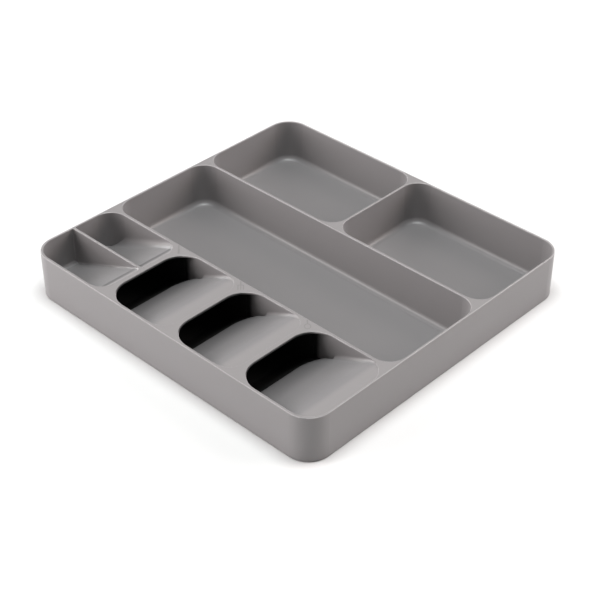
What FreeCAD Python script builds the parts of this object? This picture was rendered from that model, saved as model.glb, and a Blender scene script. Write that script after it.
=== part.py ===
import FreeCAD, Part
import math
import os

# Drawer organizer insert: a shallow moulded tray with three square-cornered bins,
# two small scoops side by side and three tiered cutlery slots.
# Units are millimetres. +X runs along the row of slots, from the scoops to the
# last tier; +Y runs from that row to the two rear bins; +Z is up.
# The origin is the centre of the underside, at the plane the feet rest on.

V = FreeCAD.Vector

# ---- overall ---------------------------------------------------------------
LEN_X = 397.0          # along the slot row
LEN_Y = 382.0          # from the slot row to the rear bins
RIM_Z = 53.0           # table to rim
FOOT_GAP = 0.8         # tray's lower edge above the table
R_OUTER = 25.7         # outer vertical corners
RIM_R = 0.8            # softening of every top edge
SKIN = 2.0             # general moulding thickness
FLOOR_T = 2.2          # bin floors

HX, HY = LEN_X / 2, LEN_Y / 2
RIM_T = 2.0            # outer wall at the rim
BIN_DRAFT = math.tan(math.radians(2.0))
BIN_FLOOR = FOOT_GAP + FLOOR_T
BIN_FILLET = 6.4

# ---- bins: x0, y0, x1, y1 at the rim, radii at (x0,y0) (x1,y0) (x1,y1) (x0,y1)
IX, IY = HX - RIM_T, HY - RIM_T
DIV_AB = (-1.4, 1.1)                 # wall between the two rear bins
DIV_C = (52.3, 55.3)                 # wall between the rear bins and the long bin
DIV_ROW = (-82.9, -79.4)             # wall between the long bin and the slot row
R_BIN, R_CORNER = 21.0, 23.7
BINS = {
    "rear_left": (-IX, DIV_C[1], DIV_AB[0], IY, (R_BIN, R_BIN, R_BIN, R_CORNER)),
    "rear_right": (DIV_AB[1], DIV_C[1], IX, IY, (R_BIN, R_BIN, R_CORNER, R_BIN)),
    "long": (-IX + 0.2, DIV_ROW[1], IX - 0.2, DIV_C[0], (R_BIN, R_BIN, R_BIN, R_BIN)),
}

# ---- slot row --------------------------------------------------------------
ROW_Y0, ROW_Y1 = -187.9, DIV_ROW[0]  # inner faces of the row's side walls
ROW_X0, ROW_X1 = -IX, IX
TOP_STEP = 0.15                      # ramp's upper end below the rim

# small scoops: one shared ramp rising to the right, split by a thin wall
SCOOP_X1 = -89.4
SCOOP_WALL = (-136.4, -133.6)
SCOOP_RAMP = {"x": -154.8, "z": 25.5, "slope": 0.42}
SCOOP_FILLET = 2.0                   # along the scoops' other side walls
SCOOP_REAR_FILLET = 8.0              # along the rear wall of the rear scoop
SCOOP_END_R = 3.8                    # where the ramp meets the end wall
R_SHARP = 1.2

# tiers: left deck edge, right end, ramp anchor point and slope
TIER_PITCH = 91.6
TIER_X0 = -83.4
TIER_LEN = 85.6
R_TIER = 26.8
LIP_DRAFT = math.tan(math.radians(6.5))
LIP_R = 1.2                          # rounding of each ramp's free edge
ANCHOR = 27.0                        # where the ramp heights below are taken
NOTCH = 29.7                         # free part of each ramp, from the deck edge
SIDE_GAP = 2.5                       # between that free part and the side walls
TIER_FILLET = 3.8
TIERS = []
for _i in range(3):
    _x0 = TIER_X0 + _i * TIER_PITCH
    if _i < 2:
        TIERS.append({"x0": _x0, "x1": _x0 + TIER_LEN, "r_end": 19.0,
                      "z": RIM_Z - 22.0, "slope": 0.50})
    else:
        TIERS.append({"x0": _x0, "x1": ROW_X1, "r_end": R_CORNER,
                      "z": RIM_Z - 25.4, "slope": 0.46})

# ---- black under-tray ------------------------------------------------------
UT_GAP = 0.25          # clearance to the tray all round
UT_BASE = 1.0          # its lower face
UT_T = 1.6
UT_FLOOR = UT_BASE + UT_T
UT_CHEEK = 1.4
LAP = 6.0              # length tucked under each ramp
LUG_W, LUG_OUT, LUG_H, LUG_Z = 10.0, 0.9, 2.4, 5.0
LUG_X = (-150.0, -40.0, 50.0, 150.0)

# ---- feet ------------------------------------------------------------------
FOOT_D, FOOT_T, FOOT_PAD = 14.0, 1.8, 18.0
FOOT_SINK = FOOT_T - FOOT_GAP
FOOT_XY = [(sx * 178.0, y) for y in (-165.0, -14.0, 168.0) for sx in (-1, 1)]


def rounded_wire(x0, y0, x1, y1, z, radii):
    """Closed rectangle with four arcs, always the same eight edges."""
    a, b, c, d = radii
    k = math.sqrt(0.5)
    pts = [V(x0 + a, y0, z), V(x1 - b, y0, z), V(x1 - b + b * k, y0 + b - b * k, z),
           V(x1, y0 + b, z), V(x1, y1 - c, z), V(x1 - c + c * k, y1 - c + c * k, z),
           V(x1 - c, y1, z), V(x0 + d, y1, z), V(x0 + d - d * k, y1 - d + d * k, z),
           V(x0, y1 - d, z), V(x0, y0 + a, z), V(x0 + a - a * k, y0 + a - a * k, z)]
    edges = []
    for i in range(0, 12, 3):
        edges.append(Part.makeLine(pts[i], pts[i + 1]))
        edges.append(Part.Arc(pts[i + 1], pts[i + 2], pts[(i + 3) % 12]).toShape())
    return Part.Wire(edges)


def stack(box, radii, sections):
    """Ruled solid through rounded rectangles. A section is (z, left, rest): how far
    the left side and the other three sides move inwards."""
    x0, y0, x1, y1 = box
    wires = []
    for z, left, rest in sections:
        r = [max(0.4, q - rest) for q in radii]
        wires.append(rounded_wire(x0 + left, y0 + rest, x1 - rest, y1 - rest, z, r))
    return Part.makeLoft(wires, True, True)


def rim_sections(inward=-1.0):
    """Two small bevels that round an edge at the rim: openings flare outwards."""
    return [(RIM_Z - RIM_R, 0.0), (RIM_Z - 0.3 * RIM_R, 0.25 * RIM_R * inward),
            (RIM_Z, 0.8 * RIM_R * inward)]


def opening(box, radii, depth_z, draft, left_draft=None):
    """Tool for an opening that narrows downwards and is softened at the rim."""
    ld = draft if left_draft is None else left_draft
    drop = RIM_Z - RIM_R - depth_z
    secs = [(depth_z, drop * ld, drop * draft)]
    secs += [(z, o, o) for z, o in rim_sections()]
    last = secs[-1][1]
    secs.append((RIM_Z + 2.0, last, last))
    return stack(box, radii, secs)


def edges_at(shape, test):
    found = []
    for e in shape.Edges:
        if all(test(v.Point) for v in e.Vertexes):
            p = e.valueAt((e.FirstParameter + e.LastParameter) / 2)
            if test(p):
                found.append(e)
    return found


def bin_tool(box, radii, grow=0.0):
    """A bin's space, or with grow the same form one skin larger."""
    x0, y0, x1, y1 = box
    z0 = BIN_FLOOR - (FLOOR_T if grow else 0.0)
    if grow:
        big = (x0 - grow, y0 - grow, x1 + grow, y1 + grow)
        drop = RIM_Z - z0
        tool = stack(big, [r + grow for r in radii],
                     [(z0, drop * BIN_DRAFT, drop * BIN_DRAFT), (RIM_Z, 0.0, 0.0)])
    else:
        tool = opening(box, radii, z0, BIN_DRAFT)
    low = edges_at(tool, lambda p: abs(p.z - z0) < 1e-4)
    return tool.makeFillet(BIN_FILLET + grow, low)


def ramp_line(ramp, x_end):
    """Ramp profile: a straight slope, then an arc that eases into the rim."""
    s = ramp["slope"]
    th = math.atan(s)
    z_end = RIM_Z - TOP_STEP
    z_at_end = ramp["z"] + s * (x_end - ramp["xa"])
    r = max(2.0, (z_at_end - z_end) / (s * math.sin(th) - (1 - math.cos(th))))
    xs = x_end - r * math.sin(th)
    zs = z_end - r * (1 - math.cos(th))
    mid = th / 2
    xm = x_end - r * math.sin(mid)
    zm = z_end - r * (1 - math.cos(mid))
    return {"xs": xs, "zs": zs, "xm": xm, "zm": zm, "xe": x_end, "ze": z_end,
            "s": s, "th": th, "r": r}


def ramp_z(line, x):
    """Height of the ramp's upper face."""
    if x <= line["xs"]:
        return line["zs"] - line["s"] * (line["xs"] - x)
    if x >= line["xe"]:
        return line["ze"]
    d = line["xe"] - x
    return line["ze"] - (line["r"] - math.sqrt(line["r"] ** 2 - d ** 2))


def ramp_x(line, z):
    """Where the ramp's upper face reaches a height."""
    if z <= line["zs"]:
        return line["xs"] - (line["zs"] - z) / line["s"]
    d = line["r"] - (line["ze"] - z)
    return line["xe"] - math.sqrt(line["r"] ** 2 - d ** 2)


def above_ramp(line, x_left, x_right, y0, y1, fillets=(0.0, 0.0), drop=0.0, end_r=0.0,
               lip=None):
    """Everything above a ramp, with rounded lower edges along the front and rear side
    walls. With end_r the left end is an upright wall that curves into the ramp; with
    lip the ramp's free edge at that place is rounded."""
    def p(x, z):
        return V(x, y0, z - drop)
    z_cap = RIM_Z + 9.0
    top = V(x_right, y0, z_cap)
    low_left = p(x_left, ramp_z(line, x_left))
    ramp_start, wall_foot, bend = low_left, low_left, []
    if end_r:
        half = (math.pi / 2 - line["th"]) / 2
        run = end_r / math.tan(half)
        ramp_start = low_left + V(run * math.cos(line["th"]), 0, run * math.sin(line["th"]))
        wall_foot = low_left + V(0, 0, run)
        out = end_r / math.sin(half) - end_r
        turn = line["th"] + half
        middle = low_left + V(out * math.cos(turn), 0, out * math.sin(turn))
        bend = [Part.Arc(wall_foot, middle, ramp_start).toShape()]
    elif lip is not None:
        th = line["th"]
        z_on = ramp_z(line, lip) + line["s"] * LIP_R * (1 - math.sin(th))
        cx, cz = lip + LIP_R, z_on - LIP_R * math.cos(th)
        mid = math.radians(135.0) + th / 2
        ramp_start = p(lip + LIP_R * (1 - math.sin(th)), z_on)
        middle = p(cx + LIP_R * math.cos(mid), cz + LIP_R * math.sin(mid))
        wall_foot = p(x_left, cz)
        bend = [Part.makeLine(wall_foot, p(lip, cz)),
                Part.Arc(p(lip, cz), middle, ramp_start).toShape()]
    edges = [Part.makeLine(ramp_start, p(line["xs"], line["zs"])),
             Part.Arc(p(line["xs"], line["zs"]), p(line["xm"], line["zm"]),
                      p(line["xe"], line["ze"])).toShape(),
             Part.makeLine(p(line["xe"], line["ze"]), p(x_right, line["ze"])),
             Part.makeLine(p(x_right, line["ze"]), top),
             Part.makeLine(top, V(x_left, y0, z_cap)),
             Part.makeLine(V(x_left, y0, z_cap), wall_foot)] + bend
    solid = Part.Face(Part.Wire(edges)).extrude(V(0, y1 - y0, 0))
    for side, fillet in zip((y0, y1), fillets):
        if not fillet:
            continue

        def on_ramp(q):
            if abs(q.y - side) > 1e-4:
                return False
            return abs(q.z - (ramp_z(line, q.x) - drop)) < 1e-3 and q.z < RIM_Z + 1
        chain = []
        for e in edges_at(solid, on_ramp):
            a, b = e.Vertexes[0].Point, e.Vertexes[-1].Point
            if abs(a.y - b.y) < 1e-4 and abs(a.x - b.x) > 1.0:
                chain.append(e)
        solid = solid.makeFillet(fillet, chain)
    return solid


def rim_part(line, x0, x1, y0, y1, fillets):
    """The softened rim above a ramp, as far as each side wall stands clear of the ramp."""
    wide = above_ramp(line, x0 - 6, x1 + 2, y0 - 3, y1 + 3)
    middle = (y0 + y1) / 2
    parts = []
    for ya, yb, fillet in ((y0 - 4, middle, fillets[0]), (middle, y1 + 4, fillets[1])):
        stop = ramp_x(line, RIM_Z - RIM_R - fillet)
        parts.append(wide.common(slab(x0 - 7, stop, RIM_Z - RIM_R - 0.01, RIM_Z + 4, ya, yb)))
    return parts[0].fuse(parts[1])


def outer_block():
    secs = [(FOOT_GAP, 0.0, 0.0), (RIM_Z - RIM_R, 0.0, 0.0),
            (RIM_Z - 0.3 * RIM_R, 0.25 * RIM_R, 0.25 * RIM_R),
            (RIM_Z, 0.8 * RIM_R, 0.8 * RIM_R)]
    return stack((-HX, -HY, HX, HY), [R_OUTER] * 4, secs)


def slab(x0, x1, z0, z1, y0=-300.0, y1=300.0):
    return Part.makeBox(x1 - x0, y1 - y0, z1 - z0, V(x0, y0, z0))


def profile_solid(points, y0, y1):
    wire = Part.makePolygon([V(x, y0, z) for x, z in points + [points[0]]])
    return Part.Face(wire).extrude(V(0, y1 - y0, 0))


def sampled(line, x_from, x_to, drop, n):
    """Points along a ramp's underside, at a vertical distance below its face."""
    out = []
    for i in range(n + 1):
        x = x_from + (x_to - x_from) * i / n
        out.append((x, ramp_z(line, x) - drop))
    return out


# ---- derived ramps ---------------------------------------------------------
SCOOP_RAMP["xa"] = SCOOP_RAMP["x"]
scoop_line = ramp_line(SCOOP_RAMP, SCOOP_X1)
for _t in TIERS:
    _t["xa"] = _t["x0"] + ANCHOR
    _t["line"] = ramp_line(_t, _t["x1"] - (1.5 if _t is TIERS[2] else 0.0))
    _t["drop"] = SKIN / math.cos(_t["line"]["th"])
    # free edge of the ramp, straight below the deck edge but for the draft
    _x = _t["x0"]
    for _k in range(20):
        _x = _t["x0"] + (RIM_Z - RIM_R - ramp_z(_t["line"], _x)) * LIP_DRAFT
    _t["lip"] = _x
DECK_LOW = RIM_Z - SKIN
SCOOP_DROP = SKIN / math.cos(scoop_line["th"])


def roof_points(gap):
    """Underside of the slot row from left to right, lowered by gap."""
    pts = []
    x_meet = scoop_line["xs"] - (scoop_line["zs"] - SCOOP_DROP - DECK_LOW) / scoop_line["s"]
    pts += [(ROW_X0, ramp_z(scoop_line, ROW_X0) - SCOOP_DROP - gap)]
    pts += [(min(x_meet, SCOOP_X1), DECK_LOW - gap)]
    for t in TIERS:
        line = t["line"]
        pts.append((t["x0"] + NOTCH, DECK_LOW - gap))
        pts.append((t["x0"] + NOTCH, ramp_z(line, t["x0"] + NOTCH) - t["drop"] - gap))
        run = sampled(line, line["xs"], line["xe"], t["drop"] + gap, 6)
        run = [q for q in run if q[1] < DECK_LOW - gap - 0.2]
        pts += run
        last = run[-1]
        if t is not TIERS[2]:
            pts.append((last[0] + 3.0, DECK_LOW - gap))
        else:
            pts.append((ROW_X1, last[1]))
    return pts


def tier_opening(t):
    box = (t["x0"], ROW_Y0, t["x1"], ROW_Y1)
    radii = (R_TIER, t["r_end"], t["r_end"], R_TIER)
    return opening(box, radii, 4.0, 0.0, LIP_DRAFT)


def row_core():
    """Hollow below the slot row, which the under-tray fills from beneath."""
    pts = [(ROW_X0, -1.0)] + roof_points(0.0) + [(ROW_X1, -1.0)]
    core = profile_solid(pts, ROW_Y0, ROW_Y1)
    outline = stack((ROW_X0, ROW_Y0, ROW_X1, ROW_Y1 + 60.0), [R_CORNER] * 4,
                    [(-2.0, 0.0, 0.0), (RIM_Z, 0.0, 0.0)])
    return core.common(outline)


def ramp_plate(t):
    """The free part of one ramp, left standing inside the hollow."""
    inside = tier_opening(t).common(slab(t["x0"] - 5, t["x0"] + NOTCH + 1.0, 2.0,
                                         RIM_Z + 5, ROW_Y0 + SIDE_GAP, ROW_Y1 - SIDE_GAP))
    line = t["line"]
    under = above_ramp(line, t["x0"] - 6, t["x1"] + 1, ROW_Y0 - 5, ROW_Y1 + 5, drop=t["drop"])
    return inside.common(under)


def make_tray():
    body = outer_block()
    for x0, y0, x1, y1, radii in BINS.values():
        body = body.cut(bin_tool((x0, y0, x1, y1), radii))
    # channels around the bins' rounded undersides, behind the skirt
    inset = stack((-IX, ROW_Y1 + SKIN, IX, IY), [R_CORNER] * 4,
                  [(0.0, 0.0, 0.0), (FOOT_GAP + BIN_FILLET, 0.0, 0.0)])
    for x0, y0, x1, y1, radii in BINS.values():
        inset = inset.cut(bin_tool((x0, y0, x1, y1), radii, SKIN))
    body = body.cut(inset)
    # slot row: hollow from below, then ramps and openings
    core = row_core()
    for t in TIERS:
        core = core.cut(ramp_plate(t))
    body = body.cut(core)
    scoop_box = {"front": (ROW_X0, ROW_Y0, SCOOP_X1, SCOOP_WALL[0],
                           (R_CORNER, 19.0, R_SHARP, 2 * R_SHARP)),
                 "rear": (ROW_X0, SCOOP_WALL[1], SCOOP_X1, ROW_Y1,
                          (R_SHARP, R_SHARP, 19.0, 20.0))}
    for place, (x0, y0, x1, y1, radii) in scoop_box.items():
        rear = SCOOP_REAR_FILLET if place == "rear" else SCOOP_FILLET
        prism = opening((x0, y0, x1, y1), radii, 4.0, 0.0)
        lift = above_ramp(scoop_line, x0, x1 + 2, y0, y1, end_r=SCOOP_END_R)
        lift = lift.common(above_ramp(scoop_line, x0 - 3, x1 + 2, y0, y1,
                                      (SCOOP_FILLET, rear)))
        high = rim_part(scoop_line, x0, x1, y0, y1, (SCOOP_FILLET, rear))
        body = body.cut(prism.common(lift.fuse(high)))
    for t in TIERS:
        prism = tier_opening(t)
        line, x0, x1 = t["line"], t["x0"], t["x1"]
        both = (TIER_FILLET, TIER_FILLET)
        soft = above_ramp(line, x0 + NOTCH, x1 + 2, ROW_Y0, ROW_Y1, both)
        free = above_ramp(line, x0 - 6, x1 + 2, ROW_Y0 - 3, ROW_Y1 + 3, lip=t["lip"])
        left = free.common(slab(x0 - 7, x0 + NOTCH, 0, RIM_Z + 4))
        high = rim_part(line, x0, x1, ROW_Y0, ROW_Y1, both)
        body = body.cut(prism.common(soft.fuse(left).fuse(high)))
    # catches for the under-tray and seats for the feet
    for x in LUG_X:
        for y0, y1 in ((ROW_Y0 - LUG_OUT, ROW_Y0 + 1), (ROW_Y1 - 1, ROW_Y1 + LUG_OUT)):
            body = body.cut(slab(x - LUG_W / 2 - 0.2, x + LUG_W / 2 + 0.2, LUG_Z,
                                 LUG_Z + LUG_H + 0.2, y0, y1))
    for x, y in FOOT_XY:
        if y > ROW_Y1:
            body = body.cut(Part.makeCylinder(FOOT_D / 2, FOOT_SINK + 1.0,
                                              V(x, y, FOOT_GAP - 1.0)))
    return body.removeSplitter()


def make_under_tray():
    g = UT_GAP
    y0, y1 = ROW_Y0 + g, ROW_Y1 - g
    xl, xr = ROW_X0 + g, ROW_X1 - g
    # a block that fills the hollow, then one pocket per tier scooped out of it
    line = scoop_line
    xs = [t["lip"] - 0.6 for t in TIERS]
    outline = [(xl, UT_BASE), (xl, ramp_z(line, xl) - SCOOP_DROP - g)]
    meet = line["xs"] - (line["zs"] - SCOOP_DROP - DECK_LOW) / line["s"]
    outline.append((min(meet, SCOOP_X1) - 0.4, DECK_LOW - g))
    for i, t in enumerate(TIERS):
        tl = t["line"]
        lap0, lap1 = t["lip"] - 0.6, t["lip"] + LAP
        outline += [(lap0, DECK_LOW - g), (lap0, ramp_z(tl, lap0) - t["drop"]),
                    (lap1, ramp_z(tl, lap1) - t["drop"])]
        if i == 2:
            outline += [(lap1, UT_FLOOR), (xr, UT_FLOOR)]
            break
        run = sampled(tl, lap1 + 0.8, tl["xe"], t["drop"] + g + 0.5, 8)
        run = [q for q in run if q[1] < DECK_LOW - g - 0.6]
        outline += run
        outline.append((run[-1][0] + 3.5, DECK_LOW - g))
    outline.append((xr, UT_BASE))
    block = profile_solid(outline, y0, y1)
    rounded = stack((xl, y0, xr, ROW_Y1 + 60.0), [R_CORNER - g] * 4,
                    [(0.0, 0.0, 0.0), (RIM_Z, 0.0, 0.0)])
    block = block.common(rounded)
    starts = [xl + UT_CHEEK] + [t["lip"] + LAP - 0.05 for t in TIERS[:2]]
    for i, t in enumerate(TIERS):
        tl = t["line"]
        x_lip = t["lip"] + LAP - UT_T
        z_lip = ramp_z(tl, x_lip) - t["drop"] - UT_T / math.cos(tl["th"])
        x_foot = x_lip - (z_lip - UT_BASE) / tl["s"]
        # hollow beneath the slope
        block = block.cut(profile_solid([(x_foot, UT_BASE - 1), (x_foot, UT_BASE),
                                         (x_lip, z_lip), (x_lip, UT_BASE - 1)],
                                        y0 - 1, y1 + 1))
        z_top = ramp_z(tl, t["lip"]) - t["drop"]
        x_low = t["lip"] - (z_top - UT_FLOOR) / tl["s"]
        space = profile_solid([(starts[i], UT_FLOOR), (x_low, UT_FLOOR),
                               (t["lip"] + 0.0, z_top), (t["lip"] + 0.0, RIM_Z),
                               (starts[i], RIM_Z)], y0 + UT_CHEEK, y1 - UT_CHEEK)
        trim = stack((starts[i], y0 + UT_CHEEK, t["lip"] + 60, ROW_Y1 + 60),
                     [R_CORNER - UT_CHEEK if i == 0 else 0.4] + [0.4] * 3,
                     [(0.0, 0.0, 0.0), (RIM_Z + 1, 0.0, 0.0)])
        block = block.cut(space.common(trim))
    for x in LUG_X:
        for ya, yb in ((ROW_Y0 - LUG_OUT + 0.1, y0 + UT_CHEEK / 2),
                       (y1 - UT_CHEEK / 2, ROW_Y1 + LUG_OUT - 0.1)):
            lug = slab(x - LUG_W / 2, x + LUG_W / 2, LUG_Z, LUG_Z + LUG_H, ya, yb)
            pad = slab(x - LUG_W / 2, x + LUG_W / 2, UT_BASE, LUG_Z + LUG_H,
                       min(max(ya, y0), y1 - 0.7), max(min(yb, y1), y0 + 0.7))
            block = block.fuse(lug).fuse(pad)
    for x, y in FOOT_XY:
        if y < ROW_Y1:
            pad = Part.makeCylinder(FOOT_PAD / 2, FOOT_SINK + UT_T - 0.2 + 0.4,
                                    V(x, y, UT_BASE))
            pad = pad.common(rounded)
            block = block.fuse(pad)
            block = block.cut(Part.makeCylinder(FOOT_D / 2, FOOT_SINK + 1.0,
                                                V(x, y, FOOT_GAP - 1.0)))
    return block.removeSplitter()


def make_foot(x, y):
    foot = Part.makeCylinder(FOOT_D / 2, FOOT_T, V(x, y, 0.0))
    low = edges_at(foot, lambda p: abs(p.z) < 1e-6)
    return foot.makeChamfer(0.35, low)


def save(name, shape):
    if not shape.isValid() or len(shape.Solids) != 1:
        raise RuntimeError("%s: valid=%s solids=%d"
                           % (name, shape.isValid(), len(shape.Solids)))
    shape.Solids[0].exportStep("parts/%s.step" % name)
    b = shape.BoundBox
    print("%-14s %8.1f cm3  x %.1f %.1f  y %.1f %.1f  z %.2f %.2f"
          % (name, shape.Volume / 1000.0, b.XMin, b.XMax, b.YMin, b.YMax, b.ZMin, b.ZMax))


os.makedirs("parts", exist_ok=True)
tray = make_tray()
save("tray_body", tray)
under = make_under_tray()
save("under_tray", under)
NAMES = ["foot_front_left", "foot_front_right", "foot_middle_left", "foot_middle_right",
         "foot_rear_left", "foot_rear_right"]
for name, (fx, fy) in zip(NAMES, FOOT_XY):
    save(name, make_foot(fx, fy))
common = tray.common(under)
print("overlap mm3 %.3f" % common.Volume)
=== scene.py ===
import math

import bpy
from mathutils import Matrix, Vector

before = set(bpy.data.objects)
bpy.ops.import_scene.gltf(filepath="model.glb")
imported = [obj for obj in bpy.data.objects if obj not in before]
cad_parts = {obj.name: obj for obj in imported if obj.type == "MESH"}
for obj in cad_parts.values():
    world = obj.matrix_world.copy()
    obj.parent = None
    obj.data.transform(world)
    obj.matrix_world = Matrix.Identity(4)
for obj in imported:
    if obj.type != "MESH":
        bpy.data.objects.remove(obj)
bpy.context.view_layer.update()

MM = 0.001

# places on the tray, in its own coordinates
RIM = 53.0 * MM                                      # height of the rim
TIER_X0 = (-83.4 * MM, 8.2 * MM, 99.8 * MM)          # left deck edge of each slot
ROW_Y = (-187.9 * MM, -82.9 * MM)                    # front and rear edge of the slot row
ROW_MARGIN = 0.4 * MM                                # takes in the row's softened edges
SCOOP_WALL = (-135.0 * MM, 2.6 * MM)                 # thin wall between the scoops: y, half
MARK_AT = (-3.8 * MM, -86.0 * MM)                    # from a slot's left edge, and y
MARK_SCALE = 1.25
SPOON_BOWL = (2.7 * MM, 3.5 * MM)                    # half width and half length
SPOON_BOWL_AT = 2.2 * MM                             # its centre along the spoon
SPOON_LINE = (0.8, 0.22)                             # the bowl's outline: middle, half

# shading of the grey moulding
FLOOR_FACING = (0.3, 0.9)                            # upward normal of floors and ramps
FLOOR_DEPTH = (0.9 * MM, 3.0 * MM)                   # below the rim
RAMP_SHADE = 0.48                                     # strength of the painted shade at a ramp's free lip
RAMP_SPAN = (37.0 * MM, 33.0 * MM)                   # its end from the slot's edge, length
RAMP_LEFT = 16.0 * MM                                # how far under the deck it goes on
RIM_BAND = 0.85 * MM                                 # height of the rim band that gets a painted highlight
RIM_FACING = (0.55, 0.43)                            # its upward normal: middle, half
SHALLOW_SLOT = (50.0 * MM, 89.0 * MM)                # shallow end, from the slot's edge
SHALLOW_SCOOP = (-97.0 * MM, 12.0 * MM)              # shallow end of the scoops: x, half
DULLED = 0.9                                         # share of the painted highlight lost there
MARK_BAND = 0.2 * MM                                 # marks stay this near the rim height
MARK_TONE = 0.22                                     # their mix towards black
FADE_END = (10.3 * MM, 11.0 * MM, 11.5 * MM)         # where each slot's painted shade has gone
FADE_LENGTH = 7.0 * MM
FADE_LEFT = 2.0 * MM                                 # the painted shade starts left of the slot's edge
WALL_TOP = 0.7 * MM                                  # upright walls start below the rim
WALL_FACING = 0.25                                   # and their normals are this level
RIM_SHADE = 0.8                                      # the painted shade's share on the rim above it

# studio
FLOOR_HALF = 20.0                                    # half the side of the studio floor
GLOW = (0.8, 2.0)                                    # radii where its glow starts, is full
LIGHT_DISTANCE = 2.4
LIGHT_SIZE = 1.2
LIGHTS = [  # name, azimuth, elevation, power, tint
    ("overhead", 0.0, 89.0, 54.0, (0.967, 1.000, 0.992)),
    ("left_low", 224.0, 6.0, 38.8, (1.000, 0.956, 0.985)),
    ("right_back", 66.0, 20.0, 34.2, (0.967, 0.965, 1.000)),
    ("left_side", 179.0, 6.0, 31.7, (0.982, 0.985, 1.000)),
    ("left_front", 235.0, 28.0, 29.6, (1.000, 0.962, 0.952)),
    ("right_high", 44.0, 35.0, 27.4, (1.000, 0.892, 0.846)),
    ("left_back", 202.0, 20.0, 4.7, (1.000, 0.973, 0.772)),
    ("front_high", 269.0, 70.0, 3.8, (1.000, 0.900, 0.960)),
]
WORLD_STRENGTH = 0.15

CAMERA_AZIMUTH = math.radians(43.81)
CAMERA_ELEVATION = math.radians(36.58)
CAMERA_AT = (0.8527, -0.8852, 0.8991)
CAMERA_LENS = 86.86
CAMERA_CLIP = 80.0


# ---------------------------------------------------------------- node helpers
def new_material(name):
    mat = bpy.data.materials.new(name)
    mat.use_nodes = True
    tree = mat.node_tree
    for n in list(tree.nodes):
        tree.nodes.remove(n)
    out = tree.nodes.new("ShaderNodeOutputMaterial")
    bsdf = tree.nodes.new("ShaderNodeBsdfPrincipled")
    tree.links.new(bsdf.outputs["BSDF"], out.inputs["Surface"])
    return mat, tree, bsdf


def math_node(tree, op, a, b=None, c=None, clamp=False):
    n = tree.nodes.new("ShaderNodeMath")
    n.operation = op
    n.use_clamp = clamp
    for i, v in enumerate((a, b, c)):
        if v is None:
            continue
        if isinstance(v, (int, float)):
            n.inputs[i].default_value = v
        else:
            tree.links.new(v, n.inputs[i])
    return n.outputs[0]


def ramp_between(tree, value, low, high):
    """0 below low, 1 above high, smooth in between; low may be above high."""
    n = tree.nodes.new("ShaderNodeMapRange")
    n.interpolation_type = "SMOOTHSTEP"
    tree.links.new(value, n.inputs["Value"])
    lo, hi, a, b = (low, high, 0.0, 1.0) if low < high else (high, low, 1.0, 0.0)
    n.inputs["From Min"].default_value = lo
    n.inputs["From Max"].default_value = hi
    n.inputs["To Min"].default_value = a
    n.inputs["To Max"].default_value = b
    return n.outputs["Result"]


def noise(tree, coords, scale, detail=2.0, rough=0.5):
    n = tree.nodes.new("ShaderNodeTexNoise")
    n.inputs["Scale"].default_value = scale
    n.inputs["Detail"].default_value = detail
    n.inputs["Roughness"].default_value = rough
    tree.links.new(coords, n.inputs["Vector"])
    return n.outputs[0]


def mix_colour(tree, factor, a, b):
    n = tree.nodes.new("ShaderNodeMix")
    n.data_type = "RGBA"
    if isinstance(factor, (int, float)):
        n.inputs[0].default_value = factor
    else:
        tree.links.new(factor, n.inputs[0])
    for i, v in ((6, a), (7, b)):
        if isinstance(v, tuple):
            n.inputs[i].default_value = v
        else:
            tree.links.new(v, n.inputs[i])
    return n.outputs[2]


def bump(tree, height, strength, distance, normal=None):
    n = tree.nodes.new("ShaderNodeBump")
    n.inputs["Strength"].default_value = strength
    n.inputs["Distance"].default_value = distance
    tree.links.new(height, n.inputs["Height"])
    if normal is not None:
        tree.links.new(normal, n.inputs["Normal"])
    return n.outputs["Normal"]


def coords_of(tree):
    """Object coordinates, whole and as x, y and z."""
    c = tree.nodes.new("ShaderNodeTexCoord")
    s = tree.nodes.new("ShaderNodeSeparateXYZ")
    tree.links.new(c.outputs["Object"], s.inputs[0])
    return c.outputs["Object"], s.outputs[0], s.outputs[1], s.outputs[2]


def greatest(tree, parts):
    """The highest value of several masks."""
    total = parts[0]
    for part in parts[1:]:
        total = math_node(tree, "MAXIMUM", total, part)
    return total


# ---------------------------------------------------------------- materials
GREY = (0.210, 0.201, 0.202, 1.0)
# painted highlight: the lighter tone of the rim's softened edge
RIM_HIGHLIGHT = (0.288, 0.276, 0.277, 1.0)
# painted shade: the floors' deeper, cooler tone stands for the shade inside the compartments
FLOOR_SHADE_GREY = ((0.173, 0.168, 0.171, 1.0), (0.182, 0.177, 0.180, 1.0))
BLACK = (0.0120, 0.0120, 0.0125, 1.0)


def bar(tree, u, v, cu, cv, half_u, half_v):
    """1 inside an upright rectangle: its centre and half sides, in mm."""
    return math_node(tree, "MULTIPLY",
                     math_node(tree, "COMPARE", u, cu * MM, half_u * MM),
                     math_node(tree, "COMPARE", v, cv * MM, half_v * MM))


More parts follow.
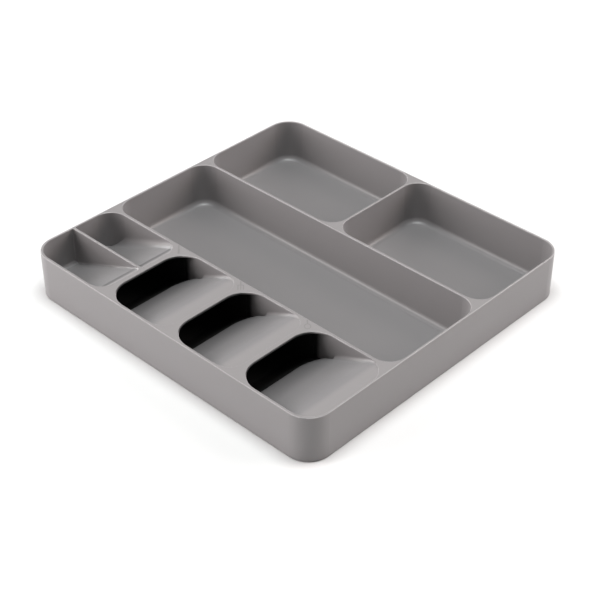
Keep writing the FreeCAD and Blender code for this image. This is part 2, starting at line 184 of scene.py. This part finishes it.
def cutlery_marks(tree, x, y):
    """Plain knife, fork and spoon outlines, one on the deck behind each slot."""
    parts = []
    half = math.sqrt(0.5) / MARK_SCALE
    for x0, kind in zip(TIER_X0, ("knife", "fork", "spoon")):
        dx = math_node(tree, "SUBTRACT", x, x0 + MARK_AT[0])
        dy = math_node(tree, "SUBTRACT", y, MARK_AT[1])
        u = math_node(tree, "MULTIPLY", math_node(tree, "ADD", dx, dy), half)
        v = math_node(tree, "MULTIPLY", math_node(tree, "SUBTRACT", dx, dy), half)
        parts.append(bar(tree, u, v, 0.0, -3.6, 0.5, 2.4))
        if kind == "knife":
            parts.append(bar(tree, u, v, 0.3, 2.4, 0.8, 3.6))
        elif kind == "fork":
            parts.append(bar(tree, u, v, 0.0, -0.8, 2.6, 0.5))
            parts += [bar(tree, u, v, tine, 2.4, 0.4, 3.2) for tine in (-2.2, 0.0, 2.2)]
        else:
            away = math_node(tree, "SUBTRACT", v, SPOON_BOWL_AT)
            across = math_node(tree, "DIVIDE", u, SPOON_BOWL[0])
            along = math_node(tree, "DIVIDE", away, SPOON_BOWL[1])
            reach = math_node(tree, "ADD", math_node(tree, "POWER", across, 2.0),
                              math_node(tree, "POWER", along, 2.0))
            parts.append(math_node(tree, "COMPARE", reach, *SPOON_LINE))
    return greatest(tree, parts)


def slot_row(tree, y):
    """1 between the front and rear edges of the slot row."""
    return math_node(tree, "MULTIPLY",
                     math_node(tree, "LESS_THAN", y, ROW_Y[1] + ROW_MARGIN),
                     math_node(tree, "GREATER_THAN", y, ROW_Y[0] - ROW_MARGIN))


def ramp_lip_shades(tree, x):
    """Painted shade mask: 1 at the free lip of each slot's ramp, falling evenly to 0 up the
    ramp.
    """
    parts = []
    for x0 in TIER_X0:
        left = math_node(tree, "SUBTRACT", x0 + RAMP_SPAN[0], x)
        fall = math_node(tree, "DIVIDE", left, RAMP_SPAN[1], clamp=True)
        near = math_node(tree, "GREATER_THAN", x, x0 - RAMP_LEFT)
        parts.append(math_node(tree, "MULTIPLY", fall, near))
    return greatest(tree, parts)


def shallow_ends(tree, x, y):
    """1 round the shallow ends of the slots and scoops, but not on the scoops' wall; the
    painted rim highlight is dulled there.
    """
    off_wall = math_node(tree, "ABSOLUTE", math_node(tree, "ADD", y, -SCOOP_WALL[0]))
    parts = [math_node(tree, "MULTIPLY",
                       math_node(tree, "COMPARE", x, *SHALLOW_SCOOP),
                       math_node(tree, "GREATER_THAN", off_wall, SCOOP_WALL[1]))]
    for x0 in TIER_X0:
        parts.append(math_node(tree, "MULTIPLY",
                               math_node(tree, "GREATER_THAN", x, x0 + SHALLOW_SLOT[0]),
                               math_node(tree, "LESS_THAN", x, x0 + SHALLOW_SLOT[1])))
    return greatest(tree, parts)


def slot_pocket_shades(tree, x):
    """Painted shade mask: 1 at the deep end of each slot, smoothly 0 where its side walls turn
    grey.
    """
    parts = []
    for x0, far in zip(TIER_X0, FADE_END):
        into = ramp_between(tree, x, x0 + far, x0 + far - FADE_LENGTH)
        near = math_node(tree, "GREATER_THAN", x, x0 - FADE_LEFT)
        parts.append(math_node(tree, "MULTIPLY", into, near))
    return greatest(tree, parts)


def shade_of(colour, factor):
    """A colour made lighter or darker, its alpha kept at 1."""
    return tuple(c * factor for c in colour[:3]) + (1.0,)


def grey_plastic():
    """Satin moulded plastic with a fine spark-eroded grain, with painted shade and painted
    highlights.
    """
    mat, tree, bsdf = new_material("tray_grey")
    obj, x, y, z = coords_of(tree)
    geo = tree.nodes.new("ShaderNodeNewGeometry")
    facing = tree.nodes.new("ShaderNodeSeparateXYZ")
    tree.links.new(geo.outputs["True Normal"], facing.inputs[0])
    upward = facing.outputs[2]
    in_row = slot_row(tree, y)
    cloud = noise(tree, obj, scale=14.0, detail=3.0)
    tone = mix_colour(tree, cloud, shade_of(GREY, 0.975), shade_of(GREY, 1.025))
    # painted shade: compartment floors and ramps are a shade deeper and cooler than the deck,
    # for the shade that falls inside the compartments
    floor_shade = math_node(tree, "MULTIPLY", ramp_between(tree, upward, *FLOOR_FACING),
                     ramp_between(tree, z, RIM - FLOOR_DEPTH[0], RIM - FLOOR_DEPTH[1]))
    tone = mix_colour(tree, floor_shade, tone, mix_colour(tree, cloud, *FLOOR_SHADE_GREY))
    # painted shade: each slot's ramp deepens evenly towards its free lip, for the shade from
    # the dark pocket beyond it
    deep = math_node(tree, "MULTIPLY", ramp_lip_shades(tree, x), in_row)
    deep = math_node(tree, "MULTIPLY", deep, floor_shade)
    tone = mix_colour(tree, math_node(tree, "MULTIPLY", deep, RAMP_SHADE), tone, BLACK)
    # painted highlight: the softened rim gets a lighter tone, a fine pale line in place of the
    # light it catches, and this line is duller round the shallow ends
    edge = math_node(tree, "MULTIPLY",
                     math_node(tree, "GREATER_THAN", z, RIM - RIM_BAND),
                     math_node(tree, "COMPARE", upward, *RIM_FACING))
    shallow = math_node(tree, "MULTIPLY", shallow_ends(tree, x, y), in_row)
    dull = math_node(tree, "MULTIPLY_ADD", shallow, -DULLED, 1.0)
    tone = mix_colour(tree, math_node(tree, "MULTIPLY", edge, dull), tone, RIM_HIGHLIGHT)
    # cutlery outlines, on the deck only
    marks = math_node(tree, "MULTIPLY", cutlery_marks(tree, x, y),
                      math_node(tree, "GREATER_THAN", z, RIM - MARK_BAND))
    tone = mix_colour(tree, math_node(tree, "MULTIPLY", marks, MARK_TONE), tone, BLACK)
    # painted shade: the upright side walls of each slot, and less so its rim, shade off into
    # black towards the dark deep end of the slot
    wall = math_node(tree, "MULTIPLY",
                     math_node(tree, "LESS_THAN", z, RIM - WALL_TOP),
                     math_node(tree, "LESS_THAN",
                               math_node(tree, "ABSOLUTE", upward), WALL_FACING))
    taken = math_node(tree, "MAXIMUM", wall, math_node(tree, "MULTIPLY", edge, RIM_SHADE))
    pocket_shade = math_node(tree, "MULTIPLY", slot_pocket_shades(tree, x), in_row)
    tone = mix_colour(tree, math_node(tree, "MULTIPLY", pocket_shade, taken), tone, BLACK)
    tree.links.new(tone, bsdf.inputs["Base Color"])
    # uneven gloss, a slight waviness and the grain
    speck = noise(tree, obj, scale=900.0)
    tree.links.new(math_node(tree, "MULTIPLY_ADD", speck, 0.10, 0.33),
                   bsdf.inputs["Roughness"])
    bsdf.inputs["Specular IOR Level"].default_value = 0.5
    wave = bump(tree, noise(tree, obj, scale=9.0, detail=1.0),
                strength=0.05, distance=0.004)
    grain = bump(tree, noise(tree, obj, scale=2600.0, rough=0.6),
                 strength=0.10, distance=0.00012, normal=wave)
    tree.links.new(grain, bsdf.inputs["Normal"])
    return mat


def black_plastic():
    """Matt black moulding with a coarser grain."""
    mat, tree, bsdf = new_material("liner_black")
    obj = coords_of(tree)[0]
    cloud = noise(tree, obj, scale=30.0)
    tone = mix_colour(tree, cloud, BLACK, (0.0150, 0.0150, 0.0155, 1.0))
    tree.links.new(tone, bsdf.inputs["Base Color"])
    grain = noise(tree, obj, scale=1800.0, rough=0.6)
    tree.links.new(math_node(tree, "MULTIPLY_ADD", grain, 0.15, 0.55),
                   bsdf.inputs["Roughness"])
    bsdf.inputs["Specular IOR Level"].default_value = 0.12
    tree.links.new(bump(tree, grain, strength=0.15, distance=0.00015),
                   bsdf.inputs["Normal"])
    return mat


def rubber():
    """Dusty dark rubber."""
    mat, tree, bsdf = new_material("foot_rubber")
    cloud = noise(tree, coords_of(tree)[0], scale=400.0, detail=3.0)
    tone = mix_colour(tree, cloud, (0.085, 0.085, 0.088, 1.0), (0.12, 0.12, 0.123, 1.0))
    tree.links.new(tone, bsdf.inputs["Base Color"])
    bsdf.inputs["Roughness"].default_value = 0.75
    tree.links.new(bump(tree, cloud, strength=0.3, distance=0.0002),
                   bsdf.inputs["Normal"])
    return mat


MATERIALS = {
    "tray_grey": grey_plastic(),
    "liner_black": black_plastic(),
    "foot_rubber": rubber(),
}
SLOT_OF = {"tray_body": "tray_grey", "under_tray": "liner_black"}
for name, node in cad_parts.items():
    slot = SLOT_OF.get(name, "foot_rubber")
    node.data.materials.clear()
    node.data.materials.append(MATERIALS[slot])


# ---------------------------------------------------------------- studio
def floor():
    mesh = bpy.data.meshes.new("studio_floor")
    s = FLOOR_HALF
    mesh.from_pydata([(-s, -s, 0), (s, -s, 0), (s, s, 0), (-s, s, 0)], [], [(0, 1, 2, 3)])
    ob = bpy.data.objects.new("studio_floor", mesh)
    bpy.context.scene.collection.objects.link(ob)
    mat, tree, bsdf = new_material("studio_white")
    bsdf.inputs["Base Color"].default_value = (0.64, 0.64, 0.64, 1.0)
    bsdf.inputs["Roughness"].default_value = 0.9
    bsdf.inputs["Specular IOR Level"].default_value = 0.1
    # far from the tray, where the lamps no longer reach, the floor glows white
    obj, x, y, z = coords_of(tree)
    square = math_node(tree, "ADD", math_node(tree, "MULTIPLY", x, x),
                       math_node(tree, "MULTIPLY", y, y))
    radius = math_node(tree, "SQRT", square)
    bsdf.inputs["Emission Color"].default_value = (1.0, 1.0, 1.0, 1.0)
    tree.links.new(ramp_between(tree, radius, *GLOW), bsdf.inputs["Emission Strength"])
    mesh.materials.append(mat)


def soft_light(name, azimuth, elevation, power, tint):
    """azimuth from +X towards +Y, in degrees; aimed at the tray."""
    a, e = math.radians(azimuth), math.radians(elevation)
    toward = Vector((math.cos(a) * math.cos(e), math.sin(a) * math.cos(e), math.sin(e)))
    pos = toward * LIGHT_DISTANCE
    data = bpy.data.lights.new(name, "AREA")
    data.shape = "DISK"
    data.size = LIGHT_SIZE
    data.energy = power
    data.color = tint
    ob = bpy.data.objects.new(name, data)
    bpy.context.scene.collection.objects.link(ob)
    turn = pos.to_track_quat("Z", "Y").to_matrix().to_4x4()
    ob.matrix_world = Matrix.Translation(pos) @ turn


floor()
for light in LIGHTS:
    soft_light(*light)

world = bpy.data.worlds.new("studio")
bpy.context.scene.world = world
world.use_nodes = True
background = world.node_tree.nodes["Background"]
background.inputs["Color"].default_value = (1.0, 1.0, 1.0, 1.0)
background.inputs["Strength"].default_value = WORLD_STRENGTH


# ---------------------------------------------------------------- camera
az, el = CAMERA_AZIMUTH, CAMERA_ELEVATION
right = Vector((math.cos(az), math.sin(az), 0.0))
back = Vector((math.sin(az) * math.cos(el), -math.cos(az) * math.cos(el), math.sin(el)))
up = back.cross(right)
camera_data = bpy.data.cameras.new("camera")
camera_data.sensor_width = 36.0
camera_data.lens = CAMERA_LENS
camera_data.clip_end = CAMERA_CLIP
camera = bpy.data.objects.new("camera", camera_data)
bpy.context.scene.collection.objects.link(camera)
place = Matrix((right, up, back)).transposed().to_4x4()
place.translation = Vector(CAMERA_AT)
camera.matrix_world = place
bpy.context.scene.camera = camera
bpy.context.scene.view_settings.view_transform = "Standard"
